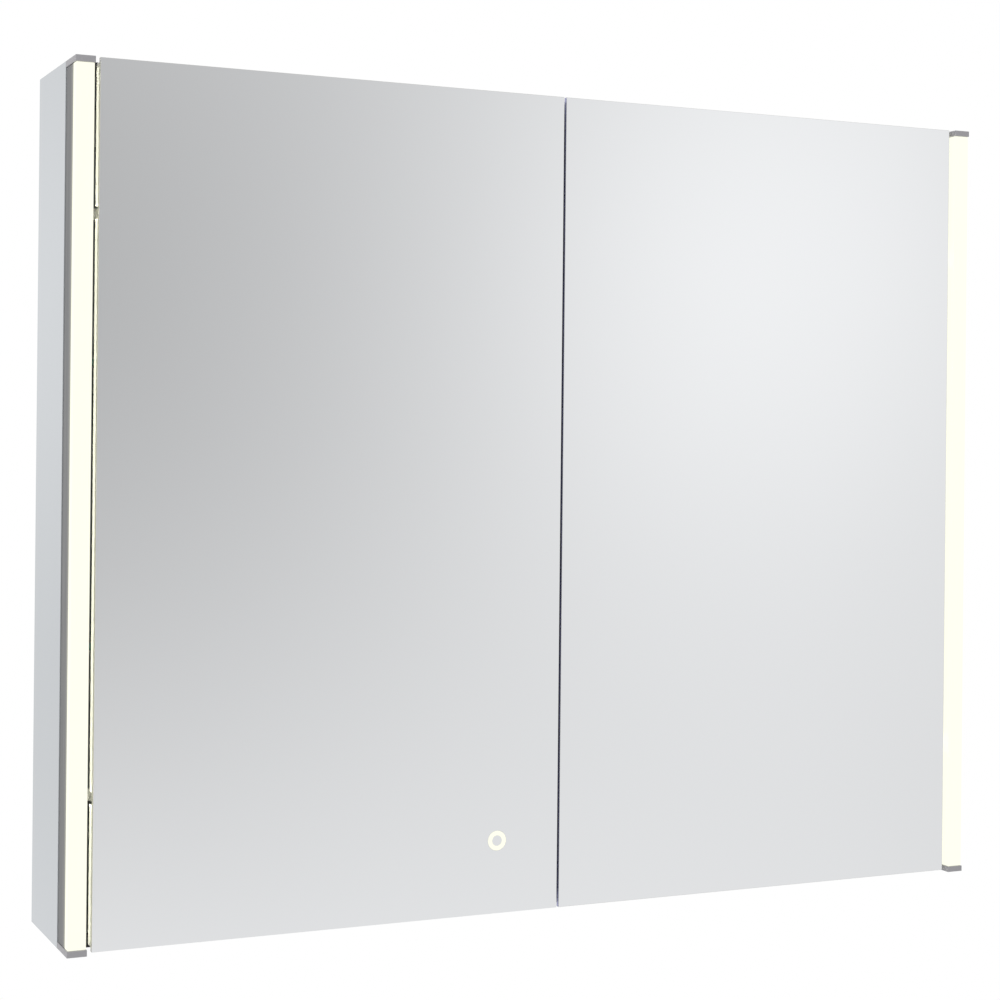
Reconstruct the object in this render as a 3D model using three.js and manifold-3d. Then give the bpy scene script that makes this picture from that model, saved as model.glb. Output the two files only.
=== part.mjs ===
// Wall-hung mirror cabinet with two hinged mirror doors between two vertical light bars.
// Millimetres. +X to the right, +Y towards the wall, +Z up.
// The origin is the middle of the back face, which lies on the wall.
import * as THREE from 'three';
import { mergeVertices } from 'three/addons/utils/BufferGeometryUtils.js';
import Module from 'manifold-3d';

const wasm = await Module();
wasm.setup();

// ---------------------------------------------------------------- driving dimensions
const WIDTH = 850;
const HEIGHT = 700;
const DEPTH = 130;
const GLUE = 0.2; // adhesive between two pieces
const FIT = 0.3; // clearance between two pieces that meet
const LAP = 1; // overlap of two blocks that are joined, and reach of a cutter past what it cuts

// light bars, measured backwards from the front of their end caps
const BAR_WIDTH = 15.8;
const BAR_DEPTH = 34.5;
const BAR_PROUD = 3.7; // how far the caps stand in front of the door mirrors
const CAP_HEIGHT = 5;
const CAP_OVERHANG = 0.65;
const DIFFUSER_WRAP = 11.1;
const PROFILE_WALL = 1.4;
const WEB = { front: 17, back: 19 }; // the wall across the profile that carries the light strip
const LENS = { wall: 1.4, faceBack: 2.4, legEnd: 14.5, legFit: 0.35 };
const STRIP = { half: 3.5, thickness: 1.2, endGap: 4 };
const CHIP = { half: 1.4, height: 0.8, root: 0.4, pitch: 28, eachWay: 12 };

// carcass
const SIDE_MIRROR = 3;
const PANEL = 12;
const BACK = 6;
const CARCASS_SETBACK = 24.5; // from the front of the doors to the top and bottom panels

// doors
const DOOR_GAP = 5.05; // from the door's outer edge to the light bar's profile
const SEAM = 2.1;
const DOOR_DROP = 1.9; // the doors end this much above the bottom of the cabinet
const GLASS = 4;
const FRAME_DEPTH = 12.1;
const FRAME_WIDTH = 20;
const FRAME_INSET = 2.4; // from the mirrors' edges to the frame
const HINGE_INSET = 1; // the same on the hinged edge
const FRAME_WEB = 2;
const FRAME_FLANGE = 1.5;

// hinges: the pin is behind the door mirror, just inside its outer edge
const PIN_INSET = 6.5;
const PIN_SETBACK = 7.4;
const PIN_RADIUS = 1.5;
const PIN_BORE = 1.6;
const HINGE_HEIGHTS = { upper: 230, lower: -230 };
const BLOCK_HALF = 21.7;
const KNUCKLE = { inner: -4, outer: PIN_INSET - HINGE_INSET, front: -3, back: 8.6 };
const FOOT = { inner: -13.5, front: -1.4, back: 7.1 };
const SLOT_HALF = 5.1;
const SLOT_FLOOR = -3.7;
const ARM = { half: 4.5, eye: 2.9, web: 1.5, bendFront: 17.2, bendBack: 20 };
const ARM_ROOT = { x: 9, front: 27.5, back: 38 }; // where the arm's strip meets its plate
const ARM_PLATE = { thickness: 2.5, front: 26.6, back: 66.6, half: 18 };
const ARM_HOLE = { radius: 2.2, depth: 6, y: 55, z: 11 };
const MIRROR_NOTCH = { inner: -2.6, half: 6.5 };

// touch ring, from the middle of the cabinet, and the sensor behind it
const RING_X = -57.9;
const RING_Z = -286.4;
const RING_OUTER = 8.2;
const RING_INNER = 4.7;
const RING_THICKNESS = 0.8;
const RING_FIT = 0.15;
const GROOVE_DEPTH = 1.1;
const SENSOR = { halfWidth: 15, halfHeight: 13, thickness: 6 };
const PLUG = { halfWidth: 6, low: -10, high: 2, height: 3 };

// shelves
const SHELF_THICKNESS = 6;
const SHELF_HEIGHTS = { upper: 112.6, lower: -112.6 };
const SHELF_FRONT = -97;
const SHELF_BACK = -9;
const PIN_COLUMNS = { front: -84, rear: -24 };
const HOLE_PITCH = 32;
const PEG_HOLE = { radius: 2.7, depth: 9 };
const PEG = { radius: 2.4, inside: 8, outside: 9 };
const PEG_COLLAR = { radius: 3.6, start: 0.2, end: 1.2 };
const SHELF_END_GAP = 1.7;

// hangers: a body on the side panel, with a hook that reaches into a window in the back panel
const HANGER = { x0: 386, x1: 407, low: 284, high: 330, front: -38, back: -6.7, inset: 4 };
const HANGER_LUG = { back: -14, inset: 8 };
const HOOK = { front: -10, back: -1, inset: 4, below: 8, above: 12 };
const HOOK_SLOT = { front: -5.2, back: -3, above: 20 };
const WINDOW = { inside: 2, outside: 1.5, above: 2, below: 24 }; // past the hanger, for the wall hook

// mains inlet, driver of the lights, and catch for the doors
const GROMMET = { x: 300, z: 300, radius: 10, bore: 4, lip: 3, recess: 0.5, back: 8.5 };
const DRIVER = { half: 75, front: -46, back: -14, height: 22 };
const DRIVER_FLANGE = { half: 90, front: -38, back: -22, height: 3 };
const CATCH = { half: 34, back: -66, height: 11, setback: 22.8 };
const POLE = { inner: 8, outer: 28, proud: 3, lap: 5, above: 2, below: 10 };
const STRIKE = { low: 322, high: 337, thickness: 1.2 };

// ---------------------------------------------------------------- derived places
const FRONT = -DEPTH;
const DOOR_FRONT = FRONT + BAR_PROUD;
const PROFILE_INNER = WIDTH / 2 - BAR_WIDTH + CAP_OVERHANG;
const DOOR_EDGE = PROFILE_INNER - DOOR_GAP;
const SIDE_FRONT = FRONT + BAR_DEPTH + FIT;
const CARCASS_FRONT = DOOR_FRONT + CARCASS_SETBACK;
const INNER_X = PROFILE_INNER;
const SPAN_X = INNER_X - FIT;
const INNER_Z = HEIGHT / 2 - PANEL;
const PIN_X = DOOR_EDGE - PIN_INSET;
const PIN_Y = DOOR_FRONT + PIN_SETBACK;
const DOOR_WIDTH = DOOR_EDGE - SEAM / 2;
const DOOR_TOP = HEIGHT / 2;
const DOOR_BOTTOM = -HEIGHT / 2 + DOOR_DROP;

// ---------------------------------------------------------------- materials
const material = (color, roughness, metalness, extra = {}) => (
  () => new THREE.MeshStandardMaterial({ color, roughness, metalness, ...extra })
);
const mirrorSilver = material(0xd6d8da, 0.04, 1);
const sideSilver = material(0xccd0d3, 0.12, 0.9);
const darkAluminium = material(0x84868b, 0.35, 0.8);
const satinAluminium = material(0xc3c5c8, 0.3, 0.9);
const capGrey = material(0x9fa1a6, 0.45, 0.3);
const opal = material(0xfffff1, 0.5, 0, { emissive: 0xfffff1, emissiveIntensity: 0.8 });
const boardWhite = material(0xf2f2ec, 0.6, 0);
const paintedPanel = material(0xd5d7d9, 0.4, 0.3);
const clearGlass = material(0xdfeee9, 0.05, 0, { transparent: true, opacity: 0.4 });
const zinc = material(0xaeb1b5, 0.3, 1);
const whitePlastic = material(0xeeeeec, 0.5, 0);
const blackRubber = material(0x242527, 0.8, 0);

// ---------------------------------------------------------------- solids
function solid(geometry) {
  const bare = geometry.index ? geometry.toNonIndexed() : geometry;
  bare.deleteAttribute('normal');
  bare.deleteAttribute('uv');
  const merged = mergeVertices(bare, 1e-5);
  return new wasm.Manifold(new wasm.Mesh({
    numProp: 3,
    vertProperties: Float32Array.from(merged.attributes.position.array),
    triVerts: Uint32Array.from(merged.index.array),
  }));
}

function geometryOf(manifold) {
  const mesh = manifold.getMesh();
  const geometry = new THREE.BufferGeometry();
  geometry.setAttribute('position', new THREE.BufferAttribute(mesh.vertProperties, 3));
  geometry.setIndex(new THREE.BufferAttribute(mesh.triVerts, 1));
  geometry.computeVertexNormals();
  return geometry;
}

// a box between two opposite corners, given in any order
function block(x0, x1, y0, y1, z0, z1) {
  const box = new THREE.BoxGeometry(Math.abs(x1 - x0), Math.abs(y1 - y0), Math.abs(z1 - z0));
  return box.translate((x0 + x1) / 2, (y0 + y1) / 2, (z0 + z1) / 2);
}

// an outline in X and Y, raised from z0 to z1
function prism(outline, z0, z1) {
  const shape = new THREE.Shape(outline.map(([x, y]) => new THREE.Vector2(x, y)));
  const depth = z1 - z0;
  return new THREE.ExtrudeGeometry(shape, { depth, bevelEnabled: false }).translate(0, 0, z0);
}

// round bars along each axis, centred on the origin
const rodY = (radius, length, sides = 24) => new THREE.CylinderGeometry(radius, radius, length, sides);
const rodX = (radius, length, sides = 24) => rodY(radius, length, sides).rotateZ(Math.PI / 2);
const rodZ = (radius, length, sides = 24) => rodY(radius, length, sides).rotateX(Math.PI / 2);

function named(name, geometry, makeMaterial) {
  const mesh = new THREE.Mesh(geometry, makeMaterial());
  mesh.name = name;
  return mesh;
}

const mirroredX = (outline, side) => outline.map(([x, y]) => [side * x, y]);
const sides = [['left', -1], ['right', 1]];
const levels = Object.keys(HINGE_HEIGHTS);

// ---------------------------------------------------------------- light bars
// Local frame: X outwards from the bar's centre line, Y back from the front of the caps.
const PROFILE_HALF = BAR_WIDTH / 2 - CAP_OVERHANG;
const CHANNEL_HALF = PROFILE_HALF - PROFILE_WALL;

function lightBar(name, side) {
  const bar = new THREE.Group();
  bar.position.set(side * (WIDTH / 2 - BAR_WIDTH / 2), FRONT, 0);
  const length = HEIGHT / 2 - CAP_HEIGHT - FIT;
  bar.add(named(`${name}_light_profile`, prism(profileOutline(), -length, length), darkAluminium));
  bar.add(named(`${name}_diffuser`, prism(diffuserOutline(), -length, length), opal));
  bar.add(named(`${name}_led_strip`, ledStrip(length - STRIP.endGap), boardWhite));
  for (const [end, up] of [['top', 1], ['bottom', -1]]) {
    const outer = up * HEIGHT / 2;
    const inner = outer - up * CAP_HEIGHT;
    const cap = block(-BAR_WIDTH / 2, BAR_WIDTH / 2, 0, BAR_DEPTH - FIT, outer, inner);
    bar.add(named(`${name}_${end}_cap`, cap, capGrey));
  }
  return bar;
}

// H-shaped section, open to the front for the light and to the back for the cable
function profileOutline() {
  const back = BAR_DEPTH - FIT;
  return [
    [-PROFILE_HALF, DIFFUSER_WRAP], [-CHANNEL_HALF, DIFFUSER_WRAP], [-CHANNEL_HALF, WEB.front],
    [CHANNEL_HALF, WEB.front], [CHANNEL_HALF, DIFFUSER_WRAP], [PROFILE_HALF, DIFFUSER_WRAP],
    [PROFILE_HALF, back], [CHANNEL_HALF, back], [CHANNEL_HALF, WEB.back],
    [-CHANNEL_HALF, WEB.back], [-CHANNEL_HALF, back], [-PROFILE_HALF, back],
  ];
}

// U-shaped section whose legs clip inside the profile's channel
function diffuserOutline() {
  const rim = DIFFUSER_WRAP - FIT;
  const leg = CHANNEL_HALF - LENS.legFit;
  const legInner = leg - LENS.wall;
  return [
    [-PROFILE_HALF, rim], [-PROFILE_HALF, CAP_OVERHANG], [PROFILE_HALF, CAP_OVERHANG],
    [PROFILE_HALF, rim], [leg, rim], [leg, LENS.legEnd], [legInner, LENS.legEnd],
    [legInner, LENS.faceBack], [-legInner, LENS.faceBack], [-legInner, LENS.legEnd],
    [-leg, LENS.legEnd], [-leg, rim],
  ];
}

// circuit board with a row of square light chips
function ledStrip(length) {
  const back = WEB.front - GLUE;
  const front = back - STRIP.thickness;
  const reach = CHIP.eachWay * CHIP.pitch;
  let strip = solid(block(-STRIP.half, STRIP.half, front, back, -length, length));
  for (let z = -reach; z <= reach; z += CHIP.pitch) {
    const chip = block(
      -CHIP.half, CHIP.half, front - CHIP.height, front + CHIP.root, z - CHIP.half, z + CHIP.half,
    );
    strip = strip.add(solid(chip));
  }
  return geometryOf(strip);
}

// ---------------------------------------------------------------- carcass
function sidePanel(name, side) {
  const outer = WIDTH / 2 - SIDE_MIRROR - GLUE;
  let panel = solid(block(side * INNER_X, side * outer, SIDE_FRONT, 0, -HEIGHT / 2, HEIGHT / 2));
  for (const height of Object.values(SHELF_HEIGHTS)) {
    for (const y of Object.values(PIN_COLUMNS)) {
      for (const step of [-1, 0, 1]) {
        const z = pinHeight(height) + step * HOLE_PITCH;
        const hole = rodX(PEG_HOLE.radius, 2 * PEG_HOLE.depth, 12);
        panel = panel.subtract(solid(hole.translate(side * INNER_X, y, z)));
      }
    }
  }
  return named(`${name}_side_panel`, geometryOf(panel), paintedPanel);
}

function sideMirror(name, side) {
  const outer = side * WIDTH / 2;
  const glass = block(outer - side * SIDE_MIRROR, outer, SIDE_FRONT, 0, -HEIGHT / 2, HEIGHT / 2);
  return named(`${name}_side_mirror`, glass, sideSilver);
}

// top or bottom panel, narrower at the front where it passes between the light bars' caps
function endPanel(name, up) {
  const betweenCaps = WIDTH / 2 - BAR_WIDTH - FIT;
  const z0 = up * INNER_Z;
  const z1 = up * HEIGHT / 2;
  const rear = solid(block(-SPAN_X, SPAN_X, SIDE_FRONT, 0, z0, z1));
  const nose = solid(block(-betweenCaps, betweenCaps, CARCASS_FRONT, SIDE_FRONT + LAP, z0, z1));
  return named(`${name}_panel`, geometryOf(rear.add(nose)), paintedPanel);
}

function backPanel() {
  const edge = INNER_Z - FIT;
  const low = HANGER.low - WINDOW.below;
  const high = HANGER.high + WINDOW.above;
  let panel = solid(block(-SPAN_X, SPAN_X, -BACK, 0, -edge, edge));
  for (const [, side] of sides) {
    const inside = side * (HANGER.x0 - WINDOW.inside);
    const outside = side * (HANGER.x1 + WINDOW.outside);
    panel = panel.subtract(solid(block(inside, outside, -BACK - LAP, LAP, low, high)));
  }
  const inlet = rodY(GROMMET.radius, 2 * (BACK + LAP)).translate(GROMMET.x, 0, GROMMET.z);
  panel = panel.subtract(solid(inlet));
  return named('back_panel', geometryOf(panel), paintedPanel);
}

// rubber ring that lines the mains inlet in the back panel
function cableGrommet() {
  const { bore, recess, back } = GROMMET;
  const neck = GROMMET.radius - FIT;
  const lip = GROMMET.radius + GROMMET.lip;
  const inside = BACK + FIT;
  const outline = [
    [bore, recess], [neck, recess], [neck, inside], [lip, inside], [lip, back], [bore, back], [bore, recess],
  ];
  const ring = new THREE.LatheGeometry(outline.map(([r, y]) => new THREE.Vector2(r, -y)).reverse(), 24);
  const mesh = named('cable_grommet', geometryOf(solid(ring)), blackRubber);
  mesh.position.set(GROMMET.x, 0, GROMMET.z);
  return mesh;
}

function hanger(name, side) {
  const { x0, x1, low, high, front, back, inset } = HANGER;
  const lug = HANGER_LUG;
  const lugOuter = side * (INNER_X - FIT);
  const hookInner = side * (x0 + HOOK.inset);
  const hookOuter = side * (x1 - HOOK.inset);
  const slotInner = side * (x0 - LAP);
  const slotOuter = side * (x1 + LAP);
  const pieces = [
    block(side * x0, side * x1, front, back, low + inset, high - inset),
    block(side * x1, lugOuter, front, lug.back, low + lug.inset, high - lug.inset),
    block(hookInner, hookOuter, HOOK.front, HOOK.back, low + HOOK.below, high - HOOK.above),
  ];
  const slot = block(slotInner, slotOuter, HOOK_SLOT.front, HOOK_SLOT.back, low, high - HOOK_SLOT.above);
  const bracket = pieces.map(solid).reduce((whole, piece) => whole.add(piece)).subtract(solid(slot));
  return named(`${name}_hanger`, geometryOf(bracket), zinc);
}

function ledDriver() {
  const top = INNER_Z - FIT;
  const { half, front, back, height } = DRIVER;
  const flange = DRIVER_FLANGE;
  const body = solid(block(-half, half, front, back, top - height, top));
  const ears = solid(block(-flange.half, flange.half, flange.front, flange.back, top - flange.height, top));
  return named('led_driver', geometryOf(body.add(ears)), whitePlastic);
}

function carcass() {
  const group = new THREE.Group();
  group.add(endPanel('top', 1), endPanel('bottom', -1));
  for (const [name, side] of sides) {
    group.add(sidePanel(name, side), sideMirror(name, side), hanger(name, side), lightBar(name, side));
  }
  group.add(backPanel(), cableGrommet(), ledDriver(), doorCatch());
  return group;
}

// ---------------------------------------------------------------- shelves
const pinHeight = (middle) => middle - SHELF_THICKNESS / 2 - FIT - PEG.radius;

// Local frame: Y runs along the pin from inside the panel towards the shelf.
function shelfPin(name, side, y, z) {
  const { radius, inside, outside } = PEG;
  const collar = PEG_COLLAR;
  const outline = [
    [0, -inside], [radius, -inside], [radius, collar.start], [collar.radius, collar.start],
    [collar.radius, collar.end], [radius, collar.end], [radius, outside], [0, outside],
  ];
  const peg = new THREE.LatheGeometry(outline.map(([r, h]) => new THREE.Vector2(r, h)), 16);
  const mesh = named(name, geometryOf(solid(peg)), zinc);
  mesh.rotation.z = side * Math.PI / 2;
  mesh.position.set(side * INNER_X, y, z);
  return mesh;
}

function shelf(level) {
  const group = new THREE.Group();
  const middle = SHELF_HEIGHTS[level];
  const half = INNER_X - SHELF_END_GAP;
  const z0 = middle - SHELF_THICKNESS / 2;
  const glass = block(-half, half, SHELF_FRONT, SHELF_BACK, z0, z0 + SHELF_THICKNESS);
  group.add(named(`${level}_shelf`, glass, clearGlass));
  for (const [name, side] of sides) {
    for (const [column, y] of Object.entries(PIN_COLUMNS)) {
      const pinName = `${level}_shelf_pin_${name}_${column}`;
      group.add(shelfPin(pinName, side, y, pinHeight(middle)));
    }
  }
  return group;
}

// ---------------------------------------------------------------- hinges and catch
// Local frame of a hinge: the origin is on the pin, X outwards times side, Y towards the wall.
const SIDE_FACE = PROFILE_INNER - PIN_X - FIT;

function hingeArm(name, side) {
  const { half, eye, web, bendFront, bendBack } = ARM;
  const plate = ARM_PLATE;
  const plateInner = side * (SIDE_FACE - plate.thickness);
  const strip = [
    [-web, 0], [web, 0], [web, bendFront],
    [ARM_ROOT.x, ARM_ROOT.front], [ARM_ROOT.x, ARM_ROOT.back], [-web, bendBack],
  ];
  let arm = solid(rodZ(eye, 2 * half));
  arm = arm.add(solid(prism(mirroredX(strip, side), -half, half)));
  arm = arm.add(solid(block(plateInner, side * SIDE_FACE, plate.front, plate.back, -plate.half, plate.half)));
  arm = arm.subtract(solid(rodZ(PIN_BORE, 2 * (half + LAP))));
  for (const z of [-ARM_HOLE.z, ARM_HOLE.z]) {
    const hole = rodX(ARM_HOLE.radius, 2 * ARM_HOLE.depth, 16);
    arm = arm.subtract(solid(hole.translate(side * SIDE_FACE, ARM_HOLE.y, z)));
  }
  return named(name, geometryOf(arm), zinc);
}

// a knuckle around the pin, slotted for the arm, and a foot that is fixed in the door's frame
function hingeBlock(name, side) {
  const { inner, outer, front, back } = KNUCKLE;
  const outline = [
    [outer, front], [outer, back], [inner, back], [inner, FOOT.back],
    [FOOT.inner, FOOT.back], [FOOT.inner, FOOT.front], [inner, FOOT.front], [inner, front],
  ];
  const slot = block(side * SLOT_FLOOR, side * (outer + LAP), front - LAP, back + LAP, -SLOT_HALF, SLOT_HALF);
  let body = solid(prism(mirroredX(outline, side), -BLOCK_HALF, BLOCK_HALF));
  body = body.subtract(solid(slot));
  body = body.subtract(solid(rodZ(PIN_BORE, 2 * (BLOCK_HALF + LAP))));
  return named(name, geometryOf(body), zinc);
}

const hingePin = (name) => named(name, geometryOf(solid(rodZ(PIN_RADIUS, 2 * (BLOCK_HALF - FIT)))), zinc);

function cabinetHinges(name, side) {
  const group = new THREE.Group();
  group.position.set(side * PIN_X, PIN_Y, 0);
  for (const level of levels) {
    const arm = hingeArm(`${name}_${level}_hinge_arm`, side);
    arm.position.z = HINGE_HEIGHTS[level];
    group.add(arm);
  }
  return group;
}

// double magnetic catch under the top panel, one pole for each door
function doorCatch() {
  const top = INNER_Z - FIT;
  const poleFront = DOOR_FRONT + CATCH.setback;
  const bodyFront = poleFront + POLE.proud;
  const poleBack = bodyFront + POLE.lap;
  const poleLow = top - POLE.below;
  const poleHigh = top - POLE.above;
  let body = solid(block(-CATCH.half, CATCH.half, bodyFront, CATCH.back, top - CATCH.height, top));
  for (const [, side] of sides) {
    const pole = block(side * POLE.inner, side * POLE.outer, poleFront, poleBack, poleLow, poleHigh);
    body = body.add(solid(pole));
  }
  return named('magnetic_catch', geometryOf(body), whitePlastic);
}

// ---------------------------------------------------------------- doors
// A frame rail along X, centred. Its outer edge is at z = 0 and its channel opens downwards.
// Both ends are mitred. Notches, given by their middle along X, make room for hinge blocks.
function frameRail(length, notches = []) {
  const half = length / 2;
  const y0 = -FRAME_DEPTH / 2;
  const y1 = FRAME_DEPTH / 2;
  const end = half + LAP;
  const inner0 = y0 + FRAME_FLANGE;
  const inner1 = y1 - FRAME_FLANGE;
  let rail = solid(block(-half, half, y0, y1, -FRAME_WIDTH, 0));
  rail = rail.subtract(solid(block(-end, end, inner0, inner1, -FRAME_WIDTH - LAP, -FRAME_WEB)));
  for (const way of [-1, 1]) {
    rail = rail.subtract(solid(mitreWedge(way, half, y0 - LAP, y1 + LAP)));
  }
  for (const x of notches) {
    const room = BLOCK_HALF + FIT;
    const depth = KNUCKLE.outer - KNUCKLE.inner + FIT;
    const notch = block(x - room, x + room, y0 - LAP, y1 + LAP, -depth, LAP);
    rail = rail.subtract(solid(notch));
  }
  return geometryOf(rail);
}

// the waste beyond a 45 degree mitre at one end of a rail
function mitreWedge(way, half, y0, y1) {
  const reach = FRAME_WIDTH + 2 * LAP;
  const cut = half - GLUE;
  const beyond = half + 2 * LAP;
  const waste = [[cut + LAP, LAP], [beyond, LAP], [beyond, -reach], [cut - reach, -reach]];
  const wedge = prism(waste.map(([x, z]) => [way * x, z]), -y1, -y0);
  return wedge.rotateX(Math.PI / 2);
}

// Local frame of a door: the origin is on the hinge pin, X outwards times side, Z from the middle.
function frontMirror(name, side, touch) {
  const outer = side * PIN_INSET;
  const inner = side * (PIN_INSET - DOOR_WIDTH);
  const front = -PIN_SETBACK;
  let glass = solid(block(inner, outer, front, front + GLASS, DOOR_BOTTOM, DOOR_TOP));
  if (touch) {
    const cut = solid(rodY(RING_OUTER + RING_FIT, 2 * GROOVE_DEPTH, 48));
    const island = solid(rodY(RING_INNER - RING_FIT, 4 * GROOVE_DEPTH, 48));
    const groove = cut.subtract(island).translate([RING_X - side * PIN_X, front, RING_Z]);
    glass = glass.subtract(groove);
  }
  return named(`${name}_door_mirror`, geometryOf(glass), mirrorSilver);
}

function touchRing(x) {
  const profile = [
    [RING_INNER, 0], [RING_OUTER, 0], [RING_OUTER, RING_THICKNESS], [RING_INNER, RING_THICKNESS],
    [RING_INNER, 0],
  ];
  const ring = new THREE.LatheGeometry(profile.map(([r, y]) => new THREE.Vector2(r, y)), 48);
  const mesh = named('touch_ring', geometryOf(solid(ring)), opal);
  mesh.position.set(x, -PIN_SETBACK, RING_Z);
  return mesh;
}

function touchSensor(x) {
  const { halfWidth, halfHeight, thickness } = SENSOR;
  const front = -PIN_SETBACK + GLASS + GLUE;
  const back = front + thickness;
  const low = RING_Z + PLUG.low;
  const high = RING_Z + PLUG.high;
  const body = block(x - halfWidth, x + halfWidth, front, back, RING_Z - halfHeight, RING_Z + halfHeight);
  const plug = block(x - PLUG.halfWidth, x + PLUG.halfWidth, back - LAP, back + PLUG.height, low, high);
  return named('touch_sensor', geometryOf(solid(body).add(solid(plug))), boardWhite);
}

function rearMirror(name, side) {
  const outer = PIN_INSET - FRAME_INSET;
  const inner = PIN_INSET - DOOR_WIDTH + FRAME_INSET;
  const front = -PIN_SETBACK + GLASS + FRAME_DEPTH + 2 * GLUE;
  const back = front + GLASS;
  const low = DOOR_BOTTOM + FRAME_INSET;
  const high = DOOR_TOP - FRAME_INSET;
  const notchInner = side * MIRROR_NOTCH.inner;
  const notchOuter = side * (outer + LAP);
  let glass = solid(block(side * inner, side * outer, front, back, low, high));
  for (const z of Object.values(HINGE_HEIGHTS)) {
    const { half } = MIRROR_NOTCH;
    const notch = block(notchInner, notchOuter, front - LAP, back + LAP, z - half, z + half);
    glass = glass.subtract(solid(notch));
  }
  return named(`${name}_door_inner_mirror`, geometryOf(glass), mirrorSilver);
}

function doorFrame(name, side) {
  const outer = PIN_INSET - HINGE_INSET;
  const inner = PIN_INSET - DOOR_WIDTH + FRAME_INSET;
  const low = DOOR_BOTTOM + FRAME_INSET;
  const high = DOOR_TOP - FRAME_INSET;
  const middleX = side * (outer + inner) / 2;
  const middleZ = (low + high) / 2;
  const y = -PIN_SETBACK + GLASS + GLUE + FRAME_DEPTH / 2;
  const turn = side * Math.PI / 2;
  const notches = Object.values(HINGE_HEIGHTS).map((z) => -side * (z - middleZ));
  const pieces = [
    ['top_rail', outer - inner, [], 0, middleX, high],
    ['bottom_rail', outer - inner, [], Math.PI, middleX, low],
    ['hinge_stile', high - low, notches, turn, side * outer, middleZ],
    ['seam_stile', high - low, [], -turn, side * inner, middleZ],
  ];
  return pieces.map(([piece, length, cuts, angle, x, z]) => {
    const rail = named(`${name}_door_${piece}`, frameRail(length, cuts), satinAluminium);
    rail.rotation.y = angle;
    rail.position.set(x, y, z);
    return rail;
  });
}

// steel plate on the inner mirror that meets the magnetic catch
function strikePlate(name, side) {
  const front = -PIN_SETBACK + 2 * GLASS + FRAME_DEPTH + 3 * GLUE;
  const back = front + STRIKE.thickness;
  const inner = side * (POLE.inner - PIN_X);
  const outer = side * (POLE.outer - PIN_X);
  return named(`${name}_strike_plate`, block(inner, outer, front, back, STRIKE.low, STRIKE.high), zinc);
}

function door(name, side) {
  const group = new THREE.Group();
  group.position.set(side * PIN_X, PIN_Y, 0);
  const touch = side < 0;
  group.add(frontMirror(name, side, touch), rearMirror(name, side), ...doorFrame(name, side));
  group.add(strikePlate(name, side));
  for (const level of levels) {
    const holder = hingeBlock(`${name}_${level}_hinge_block`, side);
    const pin = hingePin(`${name}_${level}_hinge_pin`);
    holder.position.z = HINGE_HEIGHTS[level];
    pin.position.z = HINGE_HEIGHTS[level];
    group.add(holder, pin);
  }
  if (touch) {
    const x = RING_X - side * PIN_X;
    group.add(touchRing(x), touchSensor(x));
  }
  return group;
}

// ---------------------------------------------------------------- assembly
const cabinet = new THREE.Group();
cabinet.add(carcass());
for (const level of Object.keys(SHELF_HEIGHTS)) {
  cabinet.add(shelf(level));
}
for (const [name, side] of sides) {
  cabinet.add(cabinetHinges(name, side), door(name, side));
}

export default cabinet;
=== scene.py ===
"""Looks for the wall-hung mirror cabinet with light bars. Blender 4.5, metres, same frame as the CAD."""
import math

import bmesh
import bpy
from mathutils import Matrix, Vector


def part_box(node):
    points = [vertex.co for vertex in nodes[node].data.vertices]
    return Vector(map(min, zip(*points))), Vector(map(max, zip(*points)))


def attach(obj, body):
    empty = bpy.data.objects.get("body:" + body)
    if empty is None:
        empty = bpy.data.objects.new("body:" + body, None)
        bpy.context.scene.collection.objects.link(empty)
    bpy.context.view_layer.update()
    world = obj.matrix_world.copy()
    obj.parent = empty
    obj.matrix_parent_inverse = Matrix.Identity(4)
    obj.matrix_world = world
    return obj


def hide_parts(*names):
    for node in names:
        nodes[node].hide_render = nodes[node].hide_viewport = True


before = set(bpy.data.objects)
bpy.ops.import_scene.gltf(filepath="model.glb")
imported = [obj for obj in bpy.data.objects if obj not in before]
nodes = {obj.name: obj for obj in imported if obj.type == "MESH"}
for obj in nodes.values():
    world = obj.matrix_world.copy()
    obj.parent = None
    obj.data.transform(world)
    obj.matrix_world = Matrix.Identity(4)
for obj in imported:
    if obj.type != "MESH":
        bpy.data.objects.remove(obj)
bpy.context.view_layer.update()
SIDES = (("left", -1), ("right", 1))
LEVELS = ("upper", "lower")
ENDS = (("top", 1), ("bottom", -1))
COLUMNS = ("front", "rear")

SHARP = math.radians(32)  # a sharper edge than this is rounded
COPLANAR = math.radians(1)  # faces within this angle of each other become one
HAIR = 0.000002  # points within this distance of each other become one
SQUARE_ON = 0.9  # cosine above which a face looks along an axis
SKIN = 0.0001  # how far one thing stands off what it lies on

SILVER, EDGE, BACK, SEAM = range(4)  # a mirror pane's materials, in order
CLEAR, CUT = range(2)  # a glass shelf's materials, in order
ARRIS = 0.0002  # chamfer of a mirror pane
SHELF_ARRIS = 0.0006
TOUCH_STROKE = 0.0037  # width of the ring's light


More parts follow.
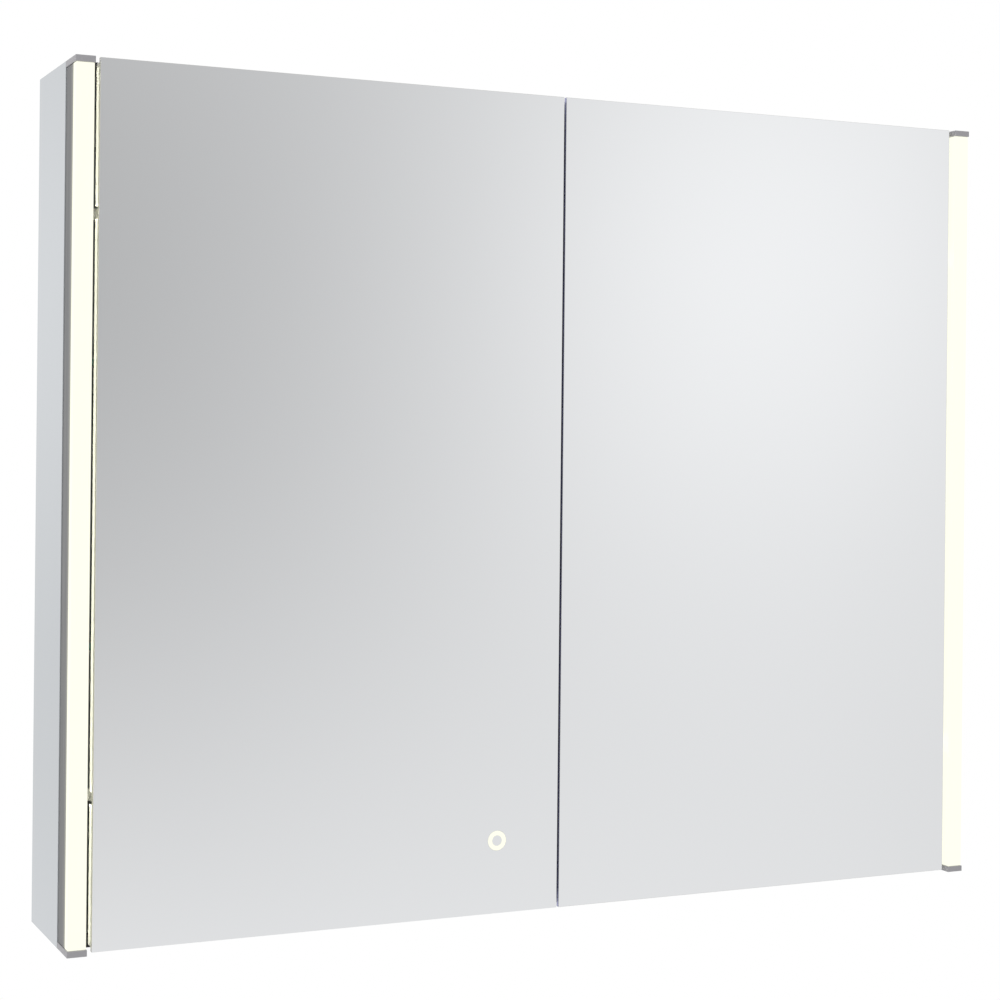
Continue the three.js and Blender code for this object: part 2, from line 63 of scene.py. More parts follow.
# ---------------------------------------------------------------- materials
class Shader:
    """A node material with a Principled shader, and short calls that add nodes to it."""

    def __init__(self, name):
        self.material = bpy.data.materials.new(name)
        self.material.use_nodes = True
        self.tree = self.material.node_tree
        self.tree.nodes.clear()
        self.output = self.add("ShaderNodeOutputMaterial")
        self.bsdf = self.add("ShaderNodeBsdfPrincipled")
        self.link(self.bsdf.outputs[0], self.output.inputs[0])
        self.coords = self.add("ShaderNodeTexCoord").outputs["Object"]

    def add(self, kind, **values):
        node = self.tree.nodes.new(kind)
        for key, value in values.items():
            setattr(node, key, value)
        return node

    def link(self, source, target):
        self.tree.links.new(source, target)

    def set(self, **sockets):
        for key, value in sockets.items():
            self.bsdf.inputs[key.replace("_", " ")].default_value = value

    def mapped(self, scale):
        node = self.add("ShaderNodeMapping")
        node.inputs["Scale"].default_value = scale
        self.link(self.coords, node.inputs["Vector"])
        return node.outputs[0]

    def noise(self, scale, detail=3.0, stretch=(1, 1, 1)):
        node = self.add("ShaderNodeTexNoise")
        node.inputs["Scale"].default_value = scale
        node.inputs["Detail"].default_value = detail
        self.link(self.mapped(stretch), node.inputs["Vector"])
        return node.outputs["Fac"]

    def band(self, axis, start, end):
        """0 before start and 1 after end, along one axis of the cabinet, in metres."""
        split = self.add("ShaderNodeSeparateXYZ")
        self.link(self.coords, split.inputs[0])
        node = self.add("ShaderNodeMapRange")
        node.inputs["From Min"].default_value = start
        node.inputs["From Max"].default_value = end
        self.link(split.outputs[axis], node.inputs["Value"])
        return node.outputs[0]

    def blend(self, factor, first, second):
        node = self.add("ShaderNodeMix", data_type="RGBA")
        self.link(factor, node.inputs[0])
        self.link(first, node.inputs[6])
        self.link(second, node.inputs[7])
        return node.outputs[2]

    def ramp(self, factor, low, high, start=0.3, end=0.7):
        """low and high are grey values or colours, blended as factor goes from start to end."""
        node = self.add("ShaderNodeValToRGB")
        for element, position, value in zip(node.color_ramp.elements, (start, end), (low, high)):
            element.position = position
            element.color = (value, value, value, 1) if isinstance(value, float) else (*value, 1)
        self.link(factor, node.inputs[0])
        return node.outputs[0]

    def colour(self, low, high, factor):
        self.link(self.ramp(factor, low, high), self.bsdf.inputs["Base Color"])

    def roughness(self, low, high, factor):
        self.link(self.ramp(factor, low, high), self.bsdf.inputs["Roughness"])

    def bump(self, factor, strength, distance):
        node = self.add("ShaderNodeBump")
        node.inputs["Strength"].default_value = strength
        node.inputs["Distance"].default_value = distance
        self.link(factor, node.inputs["Height"])
        self.link(node.outputs[0], self.bsdf.inputs["Normal"])


def grey(value, tint):
    """A grey as a colour, shifted a little by its tint."""
    return tuple(value + t for t in tint)


def silvered_glass(name, tone, tint, haze=0.012):
    """Mirror: nearly smooth, with faint cloudiness in tone and a very slight waviness."""
    s = Shader(name)
    s.set(Metallic=1.0, Specular_IOR_Level=0.5)
    cloud = s.noise(2.5, 2.0)
    s.colour(grey(tone - 0.006, tint), grey(tone + 0.006, tint), cloud)
    s.roughness(haze * 0.7, haze * 1.3, s.noise(9.0, 3.0))
    s.bump(s.noise(1.6, 1.0), 0.02, 0.0004)
    return s.material


def glass_edge(name, low, high, metal=0.5):
    """Ground edge of mirror glass, seen as a narrow line round the pane."""
    s = Shader(name)
    s.set(Metallic=metal, Specular_IOR_Level=0.3)
    s.colour(low, high, s.noise(60.0, 2.0, (1, 1, 0.05)))
    s.roughness(0.12, 0.22, s.noise(300.0))
    return s.material


def brushed(name, tone, tint, roughness, along=(1, 1, 0.02), grain=900.0, metal=0.9):
    """Metal with a fine grain along one axis, or in all directions."""
    s = Shader(name)
    s.set(Metallic=metal)
    grain_noise = s.noise(grain, 3.0, along)
    s.colour(grey(tone * 0.93, tint), grey(tone * 1.07, tint), grain_noise)
    s.roughness(roughness * 0.85, roughness * 1.15, s.noise(grain * 0.4, 2.0, along))
    s.bump(grain_noise, 0.25, 0.00003)
    return s.material


def bar_profile(name, tone, front, depth):
    """Dark anodised extrusion whose front lip is painted paler and warmer: a painted glow standing in
    for the diffuser's light falling on it.
    """
    s = Shader(name)
    s.set(Metallic=0.9)
    along = (1, 1, 0.02)
    tint = (0, 0.002, 0.006)
    grain = s.noise(900.0, 3.0, along)
    plain = s.ramp(grain, grey(tone * 0.93, tint), grey(tone * 1.07, tint))
    # painted glow: a paler, warmer copy of the anodised colour for the front lip, in place of the
    # diffuser's light
    lit = s.ramp(grain, (tone * 2.1, tone * 2.1, tone * 1.85), (tone * 2.3, tone * 2.3, tone * 2.0))
    s.link(s.blend(s.band("Y", front + depth, front), plain, lit), s.bsdf.inputs["Base Color"])
    s.roughness(0.34, 0.46, s.noise(360.0, 2.0, along))
    s.bump(grain, 0.25, 0.00003)
    return s.material


def moulded(name, colour, roughness, grain=1500.0, depth=0.00004, mottle=0.03, patch=35.0):
    """Moulded plastic or paint with a fine pebble grain."""
    s = Shader(name)
    s.set(Specular_IOR_Level=0.45)
    low = tuple(c * (1 - mottle) for c in colour)
    high = tuple(min(1.0, c * (1 + mottle)) for c in colour)
    s.colour(low, high, s.noise(patch, 2.0))
    s.roughness(roughness * 0.92, roughness * 1.08, s.noise(grain * 0.2))
    s.bump(s.noise(grain, 2.0), 0.3, depth)
    return s.material


def lit_opal(name, strength):
    """Frosted diffuser, lit from inside, its glow varying faintly from place to place."""
    s = Shader(name)
    s.set(Roughness=0.6, Specular_IOR_Level=0.1, Emission_Strength=strength)
    fine = s.noise(700.0, 2.0)
    s.colour((0.05, 0.05, 0.045), (0.06, 0.06, 0.055), fine)
    glow = s.noise(6.0, 1.0, (1, 1, 0.3))
    s.link(s.ramp(glow, (0.98, 0.975, 0.825), (0.99, 0.995, 0.85)), s.bsdf.inputs["Emission Color"])
    s.bump(fine, 0.15, 0.00002)
    return s.material


def clear_glass(name):
    """Float glass, very faintly green."""
    s = Shader(name)
    s.set(Transmission_Weight=0.94, IOR=1.5)
    s.colour((0.9, 0.97, 0.95), (0.93, 0.985, 0.97), s.noise(4.0))
    s.roughness(0.01, 0.03, s.noise(12.0, 3.0))
    return s.material


def green_edge(name):
    """Polished edge of a clear glass shelf, where the glass looks green."""
    s = Shader(name)
    s.set(Transmission_Weight=0.35, IOR=1.5, Coat_Weight=0.5, Coat_Roughness=0.05)
    s.colour((0.16, 0.42, 0.34), (0.24, 0.52, 0.43), s.noise(25.0, 2.0, (1, 1, 0.2)))
    s.roughness(0.06, 0.14, s.noise(120.0))
    return s.material


def silicone(name):
    """Soft clear plastic of the door bumpers."""
    s = Shader(name)
    s.set(Transmission_Weight=0.7, IOR=1.41)
    s.colour((0.86, 0.88, 0.88), (0.93, 0.94, 0.94), s.noise(90.0))
    s.roughness(0.18, 0.3, s.noise(300.0))
    return s.material


def plated(name, tone, roughness):
    """Bright zinc plating, slightly mottled."""
    s = Shader(name)
    s.set(Metallic=1.0)
    tint = (0, 0.004, 0.012)
    s.colour(grey(tone - 0.04, tint), grey(tone + 0.03, tint), s.noise(180.0, 4.0))
    s.roughness(roughness * 0.8, roughness * 1.25, s.noise(320.0, 3.0))
    s.bump(s.noise(900.0, 3.0), 0.2, 0.00003)
    return s.material


profile_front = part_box("left_light_profile")[0].y
mirror_face = silvered_glass("mirror_face", 0.929, (-0.011, 0.0, 0.014))
mirror_side = silvered_glass("mirror_side", 0.63, (-0.034, 0.0, 0.033), 0.06)
mirror_edge = glass_edge("mirror_edge", (0.42, 0.42, 0.41), (0.48, 0.48, 0.46))
# painted light: the glass edges facing the seam are tinted blue and kept as pale as the other edges, a
# painted bluish reflection in the shaded seam
seam_edge_painted_blue = glass_edge("seam_edge_painted_blue", (0.4, 0.41, 0.6), (0.48, 0.49, 0.7), 0.65)
side_edge = glass_edge("side_edge", (0.5, 0.52, 0.54), (0.56, 0.58, 0.6))
mirror_back = moulded("mirror_back", (0.23, 0.27, 0.3), 0.5)
# the profile's front 6.5 mm carries a painted glow from the diffuser beside it
dark_aluminium = bar_profile("dark_aluminium", 0.18, profile_front, 0.0065)
satin_aluminium = brushed("satin_aluminium", 0.8, (0, 0.003, 0.008), 0.38, metal=0.55)
cap_grey = moulded("cap_grey", (0.32, 0.315, 0.33), 0.42)
opal = lit_opal("opal", 1.0)
panel_silver = moulded("panel_silver", (0.66, 0.68, 0.7), 0.38, 1100.0, 0.00003, 0.02, 420.0)
board_white = moulded("board_white", (0.88, 0.88, 0.84), 0.55)
plastic_white = moulded("plastic_white", (0.85, 0.85, 0.83), 0.45)
rubber_black = moulded("rubber_black", (0.02, 0.02, 0.022), 0.75, 2500.0, 0.00006)
zinc = plated("zinc", 0.66, 0.26)
steel = plated("steel", 0.5, 0.34)
satin_nickel = brushed("satin_nickel", 0.74, (0.012, 0.006, 0), 0.42, (1, 1, 1), 500.0, 0.5)
pearl_nickel = brushed("pearl_nickel", 0.91, (0.01, 0.006, -0.02), 0.5, (1, 1, 1), 500.0, 0.1)
shelf_glass = clear_glass("shelf_glass")
shelf_edge = green_edge("shelf_edge")
clear_silicone = silicone("clear_silicone")


# ---------------------------------------------------------------- mesh making
def new_object(name, bm, material, body, replaced=(), bevel=0.0, segments=3):
    """Turns a bmesh into a piece that rides on a body, with rounded edges."""
    bmesh.ops.recalc_face_normals(bm, faces=bm.faces)
    mesh = bpy.data.meshes.new(name)
    bm.to_mesh(mesh)
    bm.free()
    obj = bpy.data.objects.new(name, mesh)
    bpy.context.scene.collection.objects.link(obj)
    mesh.materials.append(material)
    for polygon in mesh.polygons:
        polygon.use_smooth = True
    if bevel:
        round_edges(obj, bevel, segments)
    else:
        mesh.set_sharp_from_angle(angle=SHARP)
    if replaced:
        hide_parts(*replaced)
    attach(obj, body)
    return obj


def add_bevel(obj, width, segments):
    bevel = obj.modifiers.new("bevel", "BEVEL")
    bevel.width = width
    bevel.segments = segments
    bevel.limit_method = "ANGLE"
    bevel.angle_limit = SHARP
    return bevel


def round_edges(obj, width, segments):
    """Rounds the sharp edges and keeps the flat faces flat."""
    add_bevel(obj, width, segments)
    weighted = obj.modifiers.new("normals", "WEIGHTED_NORMAL")
    weighted.keep_sharp = True


def bevelled(node, material, width, segments=3):
    """A CAD node keeps its shape and gets rounded edges and a finish."""
    obj = nodes[node]
    if obj.data.has_custom_normals:
        obj.data.attributes.remove(obj.data.attributes["custom_normal"])
    obj.data.materials.clear()
    obj.data.materials.append(material)
    weld = obj.modifiers.new("weld", "WELD")
    weld.merge_threshold = HAIR
    flat = obj.modifiers.new("flat", "DECIMATE")
    flat.decimate_type = "DISSOLVE"
    flat.angle_limit = COPLANAR
    for polygon in obj.data.polygons:
        polygon.use_smooth = True
    round_edges(obj, width, segments)


def clean_copy(node):
    """A CAD node's shape as a bmesh of whole flat faces, free to be changed."""
    bm = bmesh.new()
    bm.from_mesh(nodes[node].data)
    bmesh.ops.remove_doubles(bm, verts=bm.verts, dist=HAIR)
    bmesh.ops.dissolve_limit(bm, angle_limit=COPLANAR, verts=bm.verts, edges=bm.edges)
    bmesh.ops.recalc_face_normals(bm, faces=bm.faces)
    return bm


def pane_finish(normal, face, seam_side):
    """Which of a pane's materials covers the side that looks along normal."""
    towards_front = normal.dot(face)
    if towards_front > SQUARE_ON:
        return SILVER
    if towards_front < -SQUARE_ON:
        return BACK
    return SEAM if normal.x * seam_side > SQUARE_ON else EDGE


def pane(node, body, face, silver, edge, seam_side=0):
    """A mirror pane built on a CAD node: silvered face, painted back, ground edges."""
    bm = clean_copy(node)
    for polygon in bm.faces:
        polygon.material_index = pane_finish(polygon.normal, Vector(face), seam_side)
    obj = new_object(f"{node}_pane", bm, silver, body, (node,))
    for finish in (edge, mirror_back, seam_edge_painted_blue):
        obj.data.materials.append(finish)
    for polygon in obj.data.polygons:
        polygon.use_smooth = False
    add_bevel(obj, ARRIS, 2).material = EDGE


def add_box(bm, low, high):
    low, high = Vector(low), Vector(high)
    place = Matrix.Translation((high + low) / 2) @ Matrix.Diagonal((*(high - low), 1))
    bmesh.ops.create_cube(bm, size=1.0, matrix=place)


def facing(centre, axis):
    """A frame at centre whose Z runs along axis."""
    return Matrix.Translation(centre) @ Vector(axis).to_track_quat("Z", "Y").to_matrix().to_4x4()


def revolve(bm, rings, place, segments=32, hollow=False):
    """A closed turned solid. Each ring is a radius, or a function of the angle, and a height.

    A hollow one has no ends: its last ring joins its first, round an open middle.
    """
    loops = []
    for radius, height in rings:
        loop = []
        for k in range(segments):
            angle = 2 * math.pi * k / segments
            reach = radius(angle) if callable(radius) else radius
            point = Vector((reach * math.cos(angle), reach * math.sin(angle), height))
            loop.append(bm.verts.new(place @ point))
        loops.append(loop)
    following = loops[1:] + loops[:1] if hollow else loops[1:]
    for lower, upper in zip(loops, following):
        for k in range(segments):
            after = (k + 1) % segments
            bm.faces.new((lower[k], lower[after], upper[after], upper[k]))
    if not hollow:
        bm.faces.new(loops[0][::-1])
        bm.faces.new(loops[-1])


def cross_recess(length, width):
    """Outline of a cross-head screw's recess, as a function of the angle."""
    tiny = 1e-9

    def reach(angle):
        across = abs(math.cos(angle)) + tiny
        up = abs(math.sin(angle)) + tiny
        return max(min(length / across, width / up), min(length / up, width / across))

    return reach


def add_screw(bm, centre, axis, radius):
    """A domed cross-head screw, its shank sunk a little way into what it holds."""
    shank = radius * 0.55
    cross = cross_recess(radius * 0.55, radius * 0.16)
    floor = cross_recess(radius * 0.42, radius * 0.11)
    rings = [
        (shank, -radius * 0.5),
        (shank, 0.0),
        (radius, 0.0),
        (radius, radius * 0.18),
        (radius * 0.9, radius * 0.4),
        (radius * 0.66, radius * 0.55),
        (cross, radius * 0.6),
        (floor, radius * 0.2),
    ]
    revolve(bm, rings, facing(centre, axis))


def screws(name, places, axis, radius, body):
    bm = bmesh.new()
    for centre in places:
        add_screw(bm, centre, axis, radius)
    new_object(name, bm, steel, body)


# ---------------------------------------------------------------- camera and light
def make_camera():
    """An almost level camera in front of the cabinet's left side, turned towards its middle."""
    data = bpy.data.cameras.new("camera")
    data.lens = 73.8
    data.sensor_width = 36
    data.shift_x = -0.0005
    data.shift_y = -0.0669
    camera = bpy.data.objects.new("camera", data)
    bpy.context.scene.collection.objects.link(camera)
    door_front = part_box("left_door_mirror")[0].y
    camera.location = (-0.7863, door_front - 1.5831, 0.060)
    yaw = Matrix.Rotation(math.radians(-24.69), 4, "Z")
    level = Matrix.Rotation(math.radians(90), 4, "X")
    roll = Matrix.Rotation(math.radians(0.58), 4, "Z")
    camera.rotation_euler = (yaw @ level @ roll).to_euler()
    bpy.context.scene.camera = camera


class World:
    """Soft studio surroundings: white to the camera, gently graded where the mirrors look."""

    def __init__(self):
        world = bpy.data.worlds.new("studio")
        world.use_nodes = True
        self.tree = world.node_tree
        self.tree.nodes.clear()
        direction = self.add("ShaderNodeTexCoord").outputs["Generated"]
        split = self.add("ShaderNodeSeparateXYZ")
        self.link(direction, split.inputs[0])
        self.x, self.y, self.z = split.outputs
        bpy.context.scene.world = world

    def add(self, kind):
        return self.tree.nodes.new(kind)

    def link(self, source, target):
        self.tree.links.new(source, target)

    def math(self, operation, *values):
        node = self.add("ShaderNodeMath")
        node.operation = operation
        for socket, value in zip(node.inputs, values):
            if isinstance(value, (int, float)):
                socket.default_value = value
            else:
                self.link(value, socket)
        return node.outputs[0]

    def hump(self, height, x, z, width, tall):
        """A smooth hill or hollow of brightness around one direction."""
        across = self.math("POWER", self.math("DIVIDE", self.math("SUBTRACT", self.x, x), width), 2.0)
        up = self.math("POWER", self.math("DIVIDE", self.math("SUBTRACT", self.z, z), tall), 2.0)
        falloff = self.math("EXPONENT", self.math("MULTIPLY", self.math("ADD", across, up), -1.0))
        return self.math("MULTIPLY", falloff, height)

    def background(self, value):
        node = self.add("ShaderNodeBackground")
        if isinstance(value, float):
            node.inputs["Color"].default_value = (value, value, value, 1)
        else:
            self.link(value, node.inputs["Color"])
        return node.outputs[0]

    def mix(self, factor, first, second):
        node = self.add("ShaderNodeMixShader")
        for value, socket in zip((factor, first, second), node.inputs):
            self.link(value, socket)
        return node.outputs[0]


def make_world():
    """The room round the cabinet: in front a slope, a shaded patch and a lit one; faint bands behind."""
    w = World()
    slope = w.math("ADD", w.math("MULTIPLY", w.x, -0.765), 1.246)
    slope = w.math("ADD", slope, w.math("MULTIPLY", w.z, -0.125))
    shaded = w.hump(height=-0.632, x=0.119, z=0.069, width=0.307, tall=0.396)
    lit = w.hump(height=0.213, x=0.524, z=0.096, width=0.126, tall=0.17)
    darkest, brightest = 0.42, 0.95
    front = w.math("ADD", w.math("ADD", slope, shaded), lit)
    front = w.math("MAXIMUM", w.math("MINIMUM", front, brightest), darkest)
    bands = w.math("SINE", w.math("ADD", w.math("MULTIPLY", w.z, 16.0), 0.48))
    rear = w.math("ADD", w.math("MULTIPLY", bands, 0.048), 0.87)
    behind = w.math("GREATER_THAN", w.y, 0.0)
    room = w.mix(behind, w.background(front), w.background(rear))
    seen = w.add("ShaderNodeLightPath").outputs["Is Camera Ray"]
    out = w.add("ShaderNodeOutputWorld")
    w.link(w.mix(seen, room, w.background(1.0)), out.inputs[0])


def make_floor():
    """A plain pale floor below the cabinet. It fades out towards its rim, and from below."""
    radius = 3.8
    drop = 1.5
    bm = bmesh.new()
    bmesh.ops.create_circle(bm, cap_ends=True, segments=96, radius=radius)
    mesh = bpy.data.meshes.new("floor")
    bm.to_mesh(mesh)
    bm.free()
    floor = bpy.data.objects.new("floor", mesh)
    bpy.context.scene.collection.objects.link(floor)
    floor.location = (0, -0.3, -drop)
    s = Shader("floor_pale")
    s.colour((0.86, 0.86, 0.86), (0.9, 0.9, 0.9), s.noise(1.2, 2.0))
    s.roughness(0.55, 0.7, s.noise(6.0))
    rings = s.add("ShaderNodeTexGradient", gradient_type="SPHERICAL")
    s.link(s.mapped((1 / radius, 1 / radius, 1.0)), rings.inputs[0])
    one_sided = s.add("ShaderNodeMath", operation="SUBTRACT", use_clamp=True)
    s.link(s.ramp(rings.outputs["Fac"], 0.0, 1.0, 0.02, 0.5), one_sided.inputs[0])
    s.link(s.add("ShaderNodeNewGeometry").outputs["Backfacing"], one_sided.inputs[1])
    s.link(one_sided.outputs[0], s.bsdf.inputs["Alpha"])
    mesh.materials.append(s.material)


def area_light(name, place, target, size, power, colour, spread):
    """A soft light that no mirror and no camera shows. The spread is in degrees."""
    data = bpy.data.lights.new(name, "AREA")
    data.shape = "RECTANGLE"
    data.size, data.size_y = size
    data.energy = power
    data.color = colour
    data.spread = math.radians(spread)
    light = bpy.data.objects.new(name, data)
    bpy.context.scene.collection.objects.link(light)
    light.location = place
    aim = Vector(target) - Vector(place)
    light.rotation_euler = aim.to_track_quat("-Z", "Y").to_euler()
    light.visible_camera = False
    light.visible_glossy = False


def make_lights():
    """The glow of each light bar on its door's edge and hinges, and one soft light from the left."""
    cream = (1.0, 0.985, 0.76)
    white = (1.0, 1.0, 1.0)
    everywhere, narrow = 180.0, 70.0
    for side, sign in SIDES:
        low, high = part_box(f"{side}_diffuser")
        inner = low.x if sign > 0 else high.x
        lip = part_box(f"{side}_light_profile")[0].y
        x = inner - sign * SKIN
        length = high.z - low.z
        for name, front, back, power, spread in (
            ("glow", low.y, lip, 0.05, everywhere),
            ("deep_glow", lip + 0.001, lip + 0.011, 0.065, narrow),
        ):
            y = (front + back) / 2
            size = (back - front, length)
            area_light(f"{side}_{name}", (x, y, 0), (x - sign, y, 0), size, power, cream, spread)
        y = lip + 0.006
        slot_size = (0.008, 0.009)
        for level in LEVELS:
            low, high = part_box(f"{side}_{level}_hinge_arm")
            z = (low.z + high.z) / 2
            name = f"{side}_{level}_hinge_glow"
            area_light(name, (x, y, z), (x - sign, y, z), slot_size, 0.007, cream, narrow)
    area_light("key", (-2.6, -1.6, 1.6), (0, -0.06, 0), (1.6, 1.6), 28.0, white, everywhere)


def make_stage():
    scene = bpy.context.scene
    scene.view_settings.view_transform = "Standard"
    scene.view_settings.look = "None"
    make_world()
    make_floor()
    make_lights()


# ---------------------------------------------------------------- light bars and side mirrors
def make_light_bar(side):
    """Profile, diffuser and light strip, and an end cap with two sunk screws at each end."""
    bevelled(f"{side}_light_profile", dark_aluminium, 0.0002)
    bevelled(f"{side}_diffuser", opal, 0.0005)
    bevelled(f"{side}_led_strip", board_white, 0.0001, 1)
    for end, up in ENDS:
        cap = f"{side}_{end}_cap"
        bevelled(cap, cap_grey, 0.0003)
        low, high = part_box(cap)
        face = high.z if up > 0 else low.z
        x = (low.x + high.x) / 2
        sunk = 0.0012
        inset = 0.008
        places = [(x, y, face - up * sunk) for y in (low.y + inset, high.y - inset)]
        screws(f"{cap}_screws", places, (0, 0, up), 0.0018, "cabinet")


def make_side(side, sign):
    bevelled(f"{side}_side_panel", panel_silver, 0.0003)
    pane(f"{side}_side_mirror", "cabinet", (sign, 0, 0), mirror_side, side_edge)


# ---------------------------------------------------------------- doors
def make_door(side, sign):
    body = f"{side}_door"
    for end, _ in ENDS:
        bevelled(f"{side}_door_{end}_rail", satin_aluminium, 0.0002)
    for stile in ("hinge", "seam"):
        bevelled(f"{side}_door_{stile}_stile", satin_aluminium, 0.0002)
    pane(f"{side}_door_mirror", body, (0, -1, 0), mirror_face, mirror_edge, -sign)
    pane(f"{side}_door_inner_mirror", body, (0, 1, 0), mirror_face, mirror_edge, -sign)
    bevelled(f"{side}_strike_plate", zinc, 0.0002)
    make_bumpers(side, sign)


def make_bumpers(side, sign):
    """Clear stick-on domes at the corners of the door that close on the cabinet's edge."""
    low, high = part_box(f"{side}_door_inner_mirror")
    from_seam = 0.012
    from_end = 0.005
    x = (low.x if sign > 0 else high.x) + sign * from_seam
    dome = [
        (0.0042, 0.0),
        (0.0042, 0.0004),
        (0.0039, 0.0013),
        (0.0032, 0.0021),
        (0.0021, 0.0027),
        (0.0008, 0.003),
    ]
    bm = bmesh.new()
    for z in (low.z + from_end, high.z - from_end):
        revolve(bm, dome, facing((x, high.y + SKIN / 2, z), (0, 1, 0)))
    new_object(f"{side}_door_bumpers", bm, clear_silicone, f"{side}_door")


# ---------------------------------------------------------------- hinges
def make_hinge(side, sign, level):
    """Arm, block and pin, with two screws through the arm's plate and two into the block."""
    for part, finish in (("arm", pearl_nickel), ("block", satin_nickel), ("pin", zinc)):
        bevelled(f"{side}_{level}_hinge_{part}", finish, 0.0003)
    low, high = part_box(f"{side}_{level}_hinge_arm")
    plate = 0.0025
    from_back = 0.0116
    apart = 0.011
    middle = (low.z + high.z) / 2
    outer = high.x if sign > 0 else low.x
    face = outer - sign * plate
    places = [(face, high.y - from_back, middle + step) for step in (-apart, apart)]
    screws(f"{side}_{level}_hinge_arm_screws", places, (-sign, 0, 0), 0.0036, "cabinet")
    low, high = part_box(f"{side}_{level}_hinge_block")
    foot = 0.0048
    behind_front = 0.0101
    apart = 0.0145
    x = low.x + foot if sign > 0 else high.x - foot
    places = [(x, low.y + behind_front, middle + step) for step in (-apart, apart)]
    screws(f"{side}_{level}_hinge_block_screws", places, (0, 1, 0), 0.0028, f"{side}_door")


# ---------------------------------------------------------------- carcass
def make_carcass():
    for panel in ("top_panel", "bottom_panel", "back_panel"):
        bevelled(panel, panel_silver, 0.0004)
    bevelled("cable_grommet", rubber_black, 0.0003)
    make_gap_shade_pads()
    make_back_screws()


def make_gap_shade_pads():
    """Black rubber pads on the cabinet's front edge, behind the hinged edges of the doors, put there as
    painted shade: dark pieces standing in for the shadow in the gap.
    """
    length = 0.0145
    proud = 0.0016
    margin = 0.0003
    for end, _ in ENDS:
        low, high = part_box(f"{end}_panel")
        outer = high.x - 2 * margin
        bm = bmesh.new()
        for _, sign in SIDES:
            x0, x1 = sorted((sign * (outer - length), sign * outer))
            add_box(bm, (x0, low.y - proud, low.z + margin), (x1, low.y - SKIN, high.z - margin))
        # painted shade: black pads darken the gap where only shade falls
        new_object(f"{end}_gap_shade_pads", bm, rubber_black, "cabinet", bevel=0.0004)


def make_back_screws():
    """Panel screws round the edge of the back, driven in from the wall side and sunk flush."""
    low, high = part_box("back_panel")
    inset = 0.007
    sunk = -0.0011
    places = []
    for x in (-0.27, -0.09, 0.09, 0.27):
        places += [(x, sunk, low.z + inset), (x, sunk, high.z - inset)]
    for z in (-0.22, 0.0, 0.2):
        places += [(low.x + inset, sunk, z), (high.x - inset, sunk, z)]
    screws("back_panel_screws", places, (0, 1, 0), 0.0017, "cabinet")


def make_hanger(side, sign):
    """A white housing with two adjusting screws over the zinc hook of each hanging bracket."""
    bevelled(f"{side}_hanger", zinc, 0.0004)
    low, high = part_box(f"{side}_hanger")
    outer, inner = (high.x, low.x) if sign > 0 else (low.x, high.x)
    x0, x1 = sorted((inner - sign * 0.001, outer - sign * 0.0004))
    front = low.y - 0.0012
    back = low.y + 0.012
    margin = 0.0035
    bm = bmesh.new()
    add_box(bm, (x0, front, low.z + margin), (x1, back, high.z - margin))
    new_object(f"{side}_hanger_housing", bm, plastic_white, "cabinet", bevel=0.0015)
    x = (x0 + x1) / 2
    middle = (low.z + high.z) / 2
    apart = 0.0095
    places = [(x, front - SKIN, middle + step) for step in (-apart, apart)]
    screws(f"{side}_hanger_screws", places, (0, -1, 0), 0.0042, "cabinet")


# ---------------------------------------------------------------- shelves
def make_shelf(level):
    """Clear glass with polished green edges, on plated pins."""
    node = f"{level}_shelf"
    bm = clean_copy(node)
    for polygon in bm.faces:
        polygon.material_index = CLEAR if abs(polygon.normal.z) > SQUARE_ON else CUT
    shelf = new_object(
        f"{node}_glass", bm, shelf_glass, "cabinet", (node,), SHELF_ARRIS, segments=2
    )
    shelf.data.materials.append(shelf_edge)
    shelf.modifiers["bevel"].material = CUT
    for side, _ in SIDES:
        for column in COLUMNS:
            bevelled(f"{level}_shelf_pin_{side}_{column}", zinc, 0.0002)


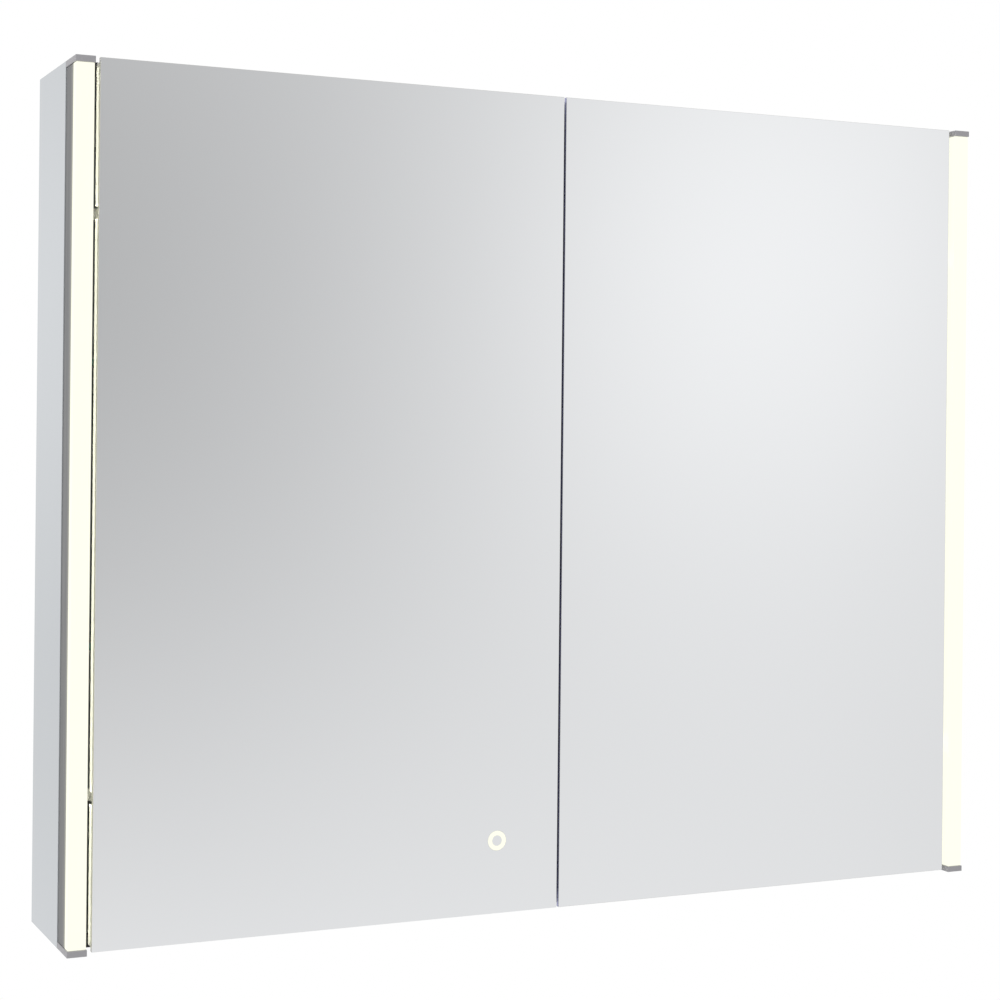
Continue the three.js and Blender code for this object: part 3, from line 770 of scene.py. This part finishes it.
# ---------------------------------------------------------------- driver and catch
def make_driver():
    """Driver housing with ribs along its underside and a screw through each ear."""
    bevelled("led_driver", plastic_white, 0.001)
    low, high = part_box("led_driver")
    ribs = 9
    from_end = 0.017
    half = 0.0012
    margin = 0.003
    proud = 0.0009
    sunk = 0.0005
    pitch = (high.x - low.x - 2 * from_end) / ribs
    bm = bmesh.new()
    for k in range(ribs):
        x = low.x + from_end + pitch * (k + 0.5)
        corner = (x - half, low.y + margin, low.z - proud)
        add_box(bm, corner, (x + half, high.y - margin, low.z + sunk))
    new_object("led_driver_ribs", bm, plastic_white, "cabinet", bevel=0.0003, segments=2)
    ear = 0.0075
    ear_thickness = 0.003
    y = (low.y + high.y) / 2
    places = [(x, y, high.z - ear_thickness) for x in (low.x + ear, high.x - ear)]
    screws("led_driver_screws", places, (0, 0, -1), 0.0032, "cabinet")


def make_catch():
    """White catch body with two steel poles, one for each door."""
    bevelled("magnetic_catch", plastic_white, 0.0006)
    low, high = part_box("magnetic_catch")
    start, end = 0.0105, 0.0255
    proud = 0.0003
    sunk = 0.001
    half = 0.0008
    bm = bmesh.new()
    for _, sign in SIDES:
        x0, x1 = sorted((sign * start, sign * end))
        for z in (low.z + 0.0032, high.z - 0.0042):
            add_box(bm, (x0, low.y - proud, z - half), (x1, low.y + sunk, z + half))
    new_object("magnetic_catch_poles", bm, steel, "cabinet", bevel=0.0002, segments=2)
    apart = 0.028
    y = (low.y + high.y) / 2 + 0.004
    places = [(x, y, low.z - SKIN) for x in (-apart, apart)]
    screws("magnetic_catch_screws", places, (0, 0, -1), 0.003, "cabinet")


def make_touch_switch():
    """Lit ring let into the left mirror, flush with the glass."""
    low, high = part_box("touch_ring")
    centre = (low + high) / 2
    outer = (high.x - low.x) / 2 + 0.0002
    inner = outer - TOUCH_STROKE - 0.0003
    root = -0.0007
    shoulder = 0.00002
    crown = 0.00006
    chamfer = 0.0001
    rings = [
        (outer, root),
        (outer, shoulder),
        (outer - chamfer, crown),
        (inner + chamfer, crown),
        (inner, shoulder),
        (inner, root),
    ]
    bm = bmesh.new()
    place = facing((centre.x, low.y, centre.z), (0, -1, 0))
    revolve(bm, rings, place, segments=64, hollow=True)
    new_object("touch_ring_light", bm, opal, "left_door", ("touch_ring",))
    bevelled("touch_sensor", board_white, 0.0003)


# ---------------------------------------------------------------- the whole scene
make_camera()
make_stage()
make_carcass()
make_driver()
make_catch()
for side, sign in SIDES:
    make_side(side, sign)
    make_light_bar(side)
    make_hanger(side, sign)
    make_door(side, sign)
    for level in LEVELS:
        make_hinge(side, sign, level)
for level in LEVELS:
    make_shelf(level)
make_touch_switch()
